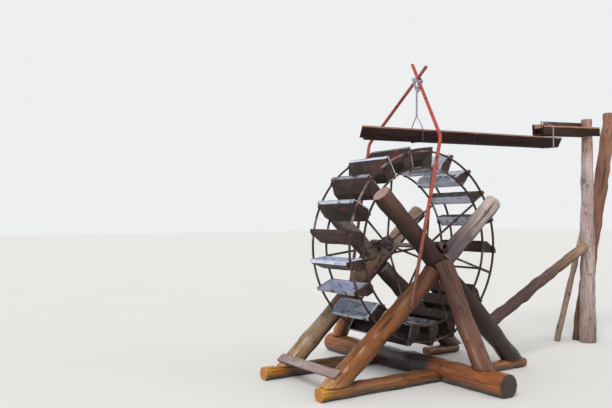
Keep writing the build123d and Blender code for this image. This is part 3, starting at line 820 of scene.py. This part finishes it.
tray = {
    "angle": 84.0,
    "count": 21,
    "missing": 15,
    "slips": {14: -5.2, 16: -4.1, 17: -1.5},
    "width": 0.6334,
    "columns": 14,
    "fold": [(0.838, 0.004), (0.850, 0.0), (0.808, 0.118), (0.903, 0.118), (1.052, 0.034), (1.052, 0.0),
             (1.058, 0.006)],  # outward and back, from hem to hem
    "sheet": 0.0032,
    "lipFrom": 1.0455,    # what lies farther out is the outer lip, and what lies below hemTo is a hem
    "hemTo": 0.0075,
    "wallTo": 0.86,       # the inner wall lies nearer to the axle than this, and below baseFrom
    "baseFrom": 0.1165,
    "middle": (0.93, 0.0, 0.05),
    "flange": 0.016,
    "edge": 0.0009,
    "dent": 0.0035,
    "dentSeed": 7,        # noise_vector follows the clock until it gets a seed
    "painted": 6,         # the first trays have red paint left
    # how dark the lip, base, inner wall and inside of each tray are, first tray first: partly rust and dirt,
    # partly painted shade on faces that look away from the light and painted sky light on faces that look up
    # into it
    "lip": [0.5, 0.4, 0.06, 0.5, 0.25, 0.9, 0.12, 0.5, 0.36, 0.5,
            0.6, 0.8, 0.8, 0.8, 0.9, 0.8, 0.5, 0.3, 0.3, 0.3],
    "base": [0.9, 0.95, 1.0, 1.0, 0.95, 0.95, 0.7, 0.7, 0.85, 1.0,
             1.0, 1.0, 1.0, 1.0, 1.0, 0.9, 0.75, 0.6, 0.25, 0.15],
    "wall": [0.9, 0.9, 1.0, 1.0, 0.9, 0.9, 0.8, 0.6, 0.7, 0.7,
             0.4, 0.6, 0.9, 1.0, 1.0, 0.85, 0.25, 0.04, 0.02, 0.1],
    "inside": [0.5, 0.6, 0.7, 0.7, 0.8, 0.6, 0.08, 0.08, 0.28, 0.8,
               0.9, 1.0, 1.0, 1.0, 1.0, 0.6, 0.2, 0.1, 0.1, 0.1],
}
axleHeight = 1.37


def selectPoints(piece, test):  # picks the vertices that pass a test, then opens edit mode
    for part in (piece.data.polygons, piece.data.edges, piece.data.vertices):
        part.foreach_set("select", [False] * len(part))
    for vertex in piece.data.vertices:
        vertex.select = test(vertex.co)
    bpy.ops.object.mode_set(mode="EDIT")
    bpy.ops.mesh.select_mode(type="VERT")


def near(first, second, reach=0.0004):
    return abs(first - second) < reach


def foldTray():
    fold, half = tray["fold"], tray["width"] / 2
    (x0, z0), (x1, z1) = fold[0], fold[1]
    selectNone()
    bpy.ops.mesh.primitive_grid_add(
        x_subdivisions=1, y_subdivisions=tray["columns"], size=1,
        location=((x0 + x1) / 2, 0, (z0 + z1) / 2), rotation=(0, -math.atan2(z1 - z0, x1 - x0), 0),
    )
    piece = bpy.context.object
    piece.scale = (math.hypot(x1 - x0, z1 - z0), tray["width"], 1)
    bpy.ops.object.transform_apply(location=True, rotation=True, scale=True)
    selectPoints(piece, lambda p: near(p.x, x1) and near(p.z, z1))
    for (fromX, fromZ), (toX, toZ) in zip(fold[1:], fold[2:]):
        step = (toX - fromX, 0, toZ - fromZ)
        bpy.ops.mesh.extrude_region_move(TRANSFORM_OT_translate={"value": step})
    leaveEdit()
    walls = fold[1:-1]
    for side in (-1, 1):
        def onEnd(p):
            return near(p.y, side * half) and any(near(p.x, x) and near(p.z, z) for x, z in walls)
        selectPoints(piece, onEnd)
        bpy.ops.mesh.edge_face_add()
        leaveEdit()
        mouth = (walls[0], walls[-1])
        selectPoints(piece, lambda p: onEnd(p) and any(near(p.x, x) and near(p.z, z) for x, z in mouth))
        bpy.ops.mesh.extrude_edges_move(TRANSFORM_OT_translate={"value": (0, -side * tray["flange"], 0)})
        leaveEdit()
    editAll(piece)
    bpy.ops.mesh.remove_doubles(threshold=0.0002)
    bpy.ops.mesh.normals_make_consistent(inside=False)
    leaveEdit()
    solid = piece.modifiers.new("sheet", "SOLIDIFY")
    solid.thickness = tray["sheet"]
    solid.offset = -1
    bevelEdges(piece, tray["edge"], angle=40)
    applyModifiers(piece)
    return piece


clip = {
    "size": (0.03, 0.007, 0.024),
    "edge": 0.0015,
    "radii": (0.83, 1.0),  # of the rings under the clips
    "face": 0.3375,       # half a millimetre outside the rings' outer faces
    "back": 0.05,
    "bolt": 0.007,
    "boltDepth": 0.007,
    "boltOut": 0.0025,
    "boltEdge": 0.001,
}


def makeClips():
    # Small plates outside the rings, each with its bolt head
    parts = []
    thick = clip["size"][1]
    for side in (-1, 1):
        for reach in clip["radii"]:
            selectNone()
            middle = (reach, side * (clip["face"] + thick / 2), clip["back"])
            bpy.ops.mesh.primitive_cube_add(size=1, location=middle)
            bpy.context.object.scale = clip["size"]
            parts.append(settle(clip["edge"]))
            bpy.ops.mesh.primitive_cylinder_add(
                vertices=6, radius=clip["bolt"], depth=clip["boltDepth"], rotation=(math.pi / 2, 0, 0),
                location=(reach, side * (clip["face"] + thick + clip["boltOut"]), clip["back"]),
            )
            parts.append(settle(clip["boltEdge"]))
    return joined(parts)


def trayMaterial():
    look = {
        # the clean zinc is lighter and bluer than bare zinc: partly its own colour, partly a painted sky
        # reflection
        "clean": (222, 228, 246),
        "stain": (140, 146, 176),
        "brown": (62, 38, 29),
        "deep": (26, 17, 15),
        "paint": (118, 34, 26),
    }
    material, tree, shader = startMaterial("traySheet")
    place = ownPlace(tree)
    spangle = node(tree, "ShaderNodeTexVoronoi", {"Vector": place, "Scale": 46.0}).outputs["Distance"]
    streaks = noiseOf(tree, stretched(tree, place, (9, 3, 9)), 1.0, 5.0)
    streakHeight = times(tree, streaks, 0.3)
    stain = tone(look["stain"])
    zinc = blendColors(tree, between(tree, spangle, 0.1, 0.7, 0.0, 0.12), tone(look["clean"]), stain)
    zinc = blendColors(tree, between(tree, streaks, 0.45, 0.75, 0.0, 0.5), zinc, stain)
    parts = separated(tree, readVector(tree, "folded"))
    levels = separated(tree, readVector(tree, "levels"))
    out = readAttribute(tree, "outer")
    lip = times(tree, out, calc(tree, "GREATER_THAN", parts[0], tray["lipFrom"]))
    lip = calc(tree, "MAXIMUM", lip, calc(tree, "LESS_THAN", parts[2], tray["hemTo"]))
    inner = calc(tree, "LESS_THAN", parts[0], tray["wallTo"])
    wall = times(tree, inner, calc(tree, "LESS_THAN", parts[2], tray["baseFrom"]))
    plate = calc(tree, "GREATER_THAN", calc(tree, "ABSOLUTE", parts[1]), tray["width"] / 2 + 0.001)
    plate = times(tree, plate, calc(tree, "SUBTRACT", 1.0, lip))
    back = between(tree, wall, 0, 1, levels[1], levels[2])
    # rust here holds rust and dirt together with painted shade and painted sky light, read from each tray's
    # table values
    rust = between(tree, out, 0, 1, readAttribute(tree, "inside"), back)
    rust = between(tree, plate, 0, 1, between(tree, lip, 0, 1, rust, levels[0]), 0.95)
    soil = blendColors(tree, between(tree, streaks, 0.35, 0.65), tone(look["brown"]), tone(look["deep"]))
    dirtAndShadeVeil = between(tree, plus(tree, rust, streakHeight), 0.15, 0.95, 0.0, 0.99)
    zinc = blendColors(tree, dirtAndShadeVeil, zinc, soil)
    patches = useGroup(tree, rustGroup, {
        "Clean": zinc, "Rust": soil, "Size": 14.0,
        "Amount": plus(tree, times(tree, rust, 0.3), 0.16),
    })
    red = between(tree, noiseOf(tree, stretched(tree, place, (7, 4, 5)), 1.0, 6.0, 0.7), 0.52, 0.7)
    red = times(tree, red, times(tree, readAttribute(tree, "paint"), 0.6))
    color = blendColors(tree, red, patches["Color"], tone(look["paint"]))
    tree.links.new(color, shader.inputs["Base Color"])
    tree.links.new(between(tree, dirtAndShadeVeil, 0, 1, 0.34, 0.72), shader.inputs["Roughness"])
    tree.links.new(between(tree, dirtAndShadeVeil, 0, 1, 0.18, 0.0), shader.inputs["Metallic"])
    bumped(tree, shader, plus(tree, patches["Height"], streakHeight), 0.5, 0.002)
    return material


def placeTrays():
    sheet = foldTray()
    clips = makeClips()
    finish = trayMaterial()
    points, normals = readPoints(sheet.data), readPoints(sheet.data, "normal")
    outer = np.einsum("ij,ij->i", points - np.array(tray["middle"]), normals) > 0
    placed = [index for index in range(tray["count"]) if index != tray["missing"]]
    noise.seed_set(tray["dentSeed"])
    for number, index in enumerate(placed, start=1):
        name = f"tray_{number:02d}"
        angle = tray["angle"] + tray["slips"].get(index, 0) + index * 360 / tray["count"]
        turn = Matrix.Translation((0, 0, axleHeight)) @ Matrix.Rotation(-math.radians(angle), 4, "Y")
        made = []
        for source, label in ((sheet, "_sheet"), (clips, "_clips")):
            mesh = source.data.copy()
            mesh.transform(turn)
            made.append(newObject(name + label, mesh))
        mesh = made[0].data
        moved = readPoints(mesh)
        dents = [noise.noise_vector(Vector(p) * 7 + Vector((number * 3.7, 0, 0))) for p in moved]
        writePoints(mesh, moved + np.array(dents) * np.array((1, 0.25, 1)) * tray["dent"])
        count = len(points)
        levels = [tray[part][number - 1] for part in ("lip", "base", "wall")]
        writeAttributes(
            mesh,
            outer=outer.astype(float),
            folded=points,
            levels=np.tile(levels, (count, 1)),
            inside=np.full(count, tray["inside"][number - 1]),
            paint=np.full(count, float(number <= tray["painted"])),
        )
        hand(made[0], finish, "wheel", "tray_sheet", name)
        hand(made[1], finishes["fixingFinish"], "wheel", "ring_steel")
    for source in (sheet, clips):
        bpy.data.objects.remove(source)
    print("trays placed:", len(placed))


placeTrays()

# Rope: strands laid round a smooth line, for the lashing and the sling

rope = {
    "radius": 0.0066,
    "lay": 0.042,         # metres for one turn of the strands
    "strands": 3,
    "strandSize": 0.56,   # in rope radii, as the next one
    "strandOut": 0.5,
    "crossing": (0.188, 0.0, 3.192),
    "wraps": 4,
    "wrapPitch": 0.0105,
    "wrapTop": 0.034,
    "wrapDrop": 0.128,
    "dropStep": 0.018,    # the next turn hangs this much less
    "halfThick": 0.0455,
    "waistTurns": 3,
    "waistPitch": 0.0105,
    "waistWide": 0.056,
    "waistDeep": 0.046,
    "waistGrowth": 0.005,
    "legTurns": 5,        # of the two legs round each other
    "slingX": 0.171,
    "splitHeight": 2.795,
    "troughEdge": 2.6439,
    "troughDepth": 0.1355,
    "slingReach": 0.0968,
}


def smoothLine(points, closed):
    # Reads points along a curved line through the bends of a route
    curve = bpy.data.curves.new("route", "CURVE")
    curve.dimensions = "3D"
    curve.resolution_u = 10
    line = curve.splines.new("NURBS")
    line.points.add(len(points) - 1)
    for point, place in zip(line.points, points):
        point.co = (*place, 1)
    line.order_u = 3
    line.use_cyclic_u = closed
    line.use_endpoint_u = not closed
    route = newObject("route", curve)
    read = bpy.data.meshes.new_from_object(route)
    places = [vertex.co.copy() for vertex in read.vertices]
    bpy.data.objects.remove(route)
    bpy.data.meshes.remove(read)
    return places


def strandCurve(name, routes):
    # Every route is (points, closed). Each strand winds round its route.
    curve = bpy.data.curves.new(name, "CURVE")
    curve.dimensions = "3D"
    curve.bevel_depth = rope["radius"] * rope["strandSize"]
    curve.bevel_resolution = 1
    curve.resolution_u = 1
    for points, closed in routes:
        places = smoothLine(points, closed)
        count = len(places)
        lengths = [0.0]
        for first, second in zip(places, places[1:]):
            lengths.append(lengths[-1] + (second - first).length)
        total = lengths[-1] + ((places[0] - places[-1]).length if closed else 0)
        turns = max(1, round(total / rope["lay"]))
        steps = turns * 10
        for strand in range(rope["strands"]):
            line = curve.splines.new("POLY")
            line.points.add(steps - 1 if closed else steps)
            side = Vector((0.31, 0.87, 0.39))  # a way that no route follows
            for index, point in enumerate(line.points):
                place = total * index / steps
                at = max(i for i in range(count) if lengths[i] <= place + 1e-9)
                following = places[(at + 1) % count] if closed or at + 1 < count else places[at]
                ahead = following - places[at]
                if ahead.length < 1e-7:
                    ahead = places[at] - places[at - 1]
                    spot = places[at]
                else:
                    spot = places[at] + ahead.normalized() * (place - lengths[at])
                ahead.normalize()
                across = (side - ahead * side.dot(ahead)).normalized()
                up = ahead.cross(across)
                angle = 2 * math.pi * (turns * index / steps + strand / rope["strands"])
                off = across * math.cos(angle) + up * math.sin(angle)
                point.co = (*(spot + off * rope["radius"] * rope["strandOut"]), 1)
            line.use_cyclic_u = closed
    only(newObject(name, curve))
    bpy.ops.object.convert(target="MESH")
    bpy.ops.object.shade_smooth()
    return bpy.context.object


def ropeMaterial():
    look = {"light": (196, 188, 204), "dark": (126, 118, 134), "dirt": (96, 84, 86), "wet": (54, 42, 42)}
    material, tree, shader = startMaterial("greyRope")
    place = ownPlace(tree)
    hairs = noiseOf(tree, place, 420.0, 4.0)
    dirt = between(tree, noiseOf(tree, place, 18.0, 4.0), 0.45, 0.7, 0.0, 0.5)
    color = blendColors(tree, hairs, tone(look["dark"]), tone(look["light"]))
    color = blendColors(tree, dirt, color, tone(look["dirt"]))
    height = separated(tree, place)[2]
    edge = rope["troughEdge"]
    dry = between(tree, height, edge - 0.03, edge + 0.02, 0.15, 1.0)
    tree.links.new(blendColors(tree, dry, tone(look["wet"]), color), shader.inputs["Base Color"])
    shader.inputs["Roughness"].default_value = 0.92
    bumped(tree, shader, hairs, 0.6, 0.0015)
    return material


def ropeRoutes():
    crossing = Vector(rope["crossing"])
    thick = rope["halfThick"]
    routes = []
    count = rope["wraps"]
    for index in range(count):
        off = (index - (count - 1) / 2) * rope["wrapPitch"]
        drop = rope["wrapDrop"] - rope["dropStep"] * (index % 3)
        top = rope["wrapTop"]
        ring = [(thick, -0.35 * drop), (thick, 0.5 * top), (0.55 * thick, top), (-0.55 * thick, top),
                (-thick, 0.5 * top), (-thick, -0.35 * drop), (-0.3 * thick, -drop), (0.3 * thick, -drop)]
        wobble = 0.1 * math.sin(index * 2.3)
        routes.append(([crossing + Vector((x, off * (1 + 4 * z) + wobble * z, z)) for x, z in ring], True))
    for index in range(rope["waistTurns"]):
        lift = (index - 1) * rope["waistPitch"]
        wide, deep = rope["waistWide"], rope["waistDeep"] + rope["waistGrowth"] * index
        ring = [(wide, 0.4), (0.5 * wide, 1), (-0.5 * wide, 1), (-wide, 0.4),
                (-wide, -0.4), (-0.5 * wide, -1), (0.5 * wide, -1), (wide, -0.4)]
        routes.append(([crossing + Vector((x, y * deep, lift + 0.02 * y)) for x, y in ring], True))
    split = Vector((rope["slingX"], 0, rope["splitHeight"]))
    for side in (-1, 1):
        start = crossing + Vector((-0.02, side * 0.03, -0.04))
        turns = rope["legTurns"]
        steps = turns * 6
        points = [start, start + Vector((-0.003, -side * 0.006, -0.03))]
        top = crossing + Vector((-0.012, 0, -0.13))
        for index in range(steps + 1):
            share = index / steps
            angle = 2 * math.pi * turns * share
            off = Vector((math.cos(angle), math.sin(angle), 0)) * rope["radius"] * side
            points.append(top.lerp(split, share) + off)
        edge, reach = rope["troughEdge"], rope["slingReach"]
        low = edge - rope["troughDepth"]
        leg = [(0.02, split.z - 0.02), (reach - 0.008, edge + 0.02), (reach, edge + 0.004),
               (reach, edge - 0.03), (reach, low + 0.03), (reach, low + 0.006), (reach - 0.006, low),
               (0.04, low), (0, low)]
        points += [Vector((split.x, side * y, z)) for y, z in leg]
        routes.append((points, False))
    return routes


lashing = strandCurve("lashing_rope", ropeRoutes())
hand(lashing, ropeMaterial(), "frame", "rope", "hanger_rope")
print("rope laid")

# Nails

nail = {
    "radius": 0.006,
    "depth": 0.004,
    "edge": 0.0012,
    "troughCount": 9,
    "troughStart": -0.42,
    "troughPitch": 0.35,
    "troughSide": 0.0895,
    "troughEnd": (-0.64, 2.629),  # X and Z of the trough's upper left corner
    "troughSlope": 1.05,
    "troughDrop": 0.118,  # from the upper edge to the nails
    "boardInset": 0.09,
    "boardRises": (-0.4, 0.45),   # shares of half the board's width
    "boardSunk": 0.001,
}


def nailHeads(name, places):
    # Each place is a point on a face and the way that the face looks
    heads = []
    for point, way in places:
        selectNone()
        turn = Vector(way).to_track_quat("Z", "Y").to_euler()
        bpy.ops.mesh.primitive_cylinder_add(
            vertices=10, radius=nail["radius"], depth=nail["depth"], location=point, rotation=turn
        )
        heads.append(settle(nail["edge"]))
    piece = joined(heads)
    piece.name = name
    hand(piece, finishes["fixingFinish"], "frame", "bearing_iron")


def troughNails():
    slope = math.tan(math.radians(nail["troughSlope"]))
    endX, endZ = nail["troughEnd"]
    places = []
    for index in range(nail["troughCount"]):
        x = nail["troughStart"] + index * nail["troughPitch"]
        z = endZ + (x - endX) * slope - nail["troughDrop"]
        for side in (-1, 1):
            places.append(((x, side * nail["troughSide"], z), (0, side, 0)))
    return places


def boardNails():
    # Two nails at each end of the foot board, on the face that looks up and outward
    points = readPoints(bpy.data.objects["foot_board_wood"].data)
    middle, axes = ownAxes(points)
    local = (points - middle) @ axes.T
    high = local.max(0)
    way = axes[0] if axes[0][2] > 0 else -axes[0]
    places = []
    for end in (-1, 1):
        for rise in nail["boardRises"]:
            spot = middle + axes[2] * end * (high[2] - nail["boardInset"]) + axes[1] * rise * high[1]
            spot = spot + way * (high[0] - nail["boardSunk"])
            places.append((tuple(spot), tuple(way)))
    return places


nailHeads("trough_nails", troughNails())
nailHeads("foot_board_nails", boardNails())
print("nails set")
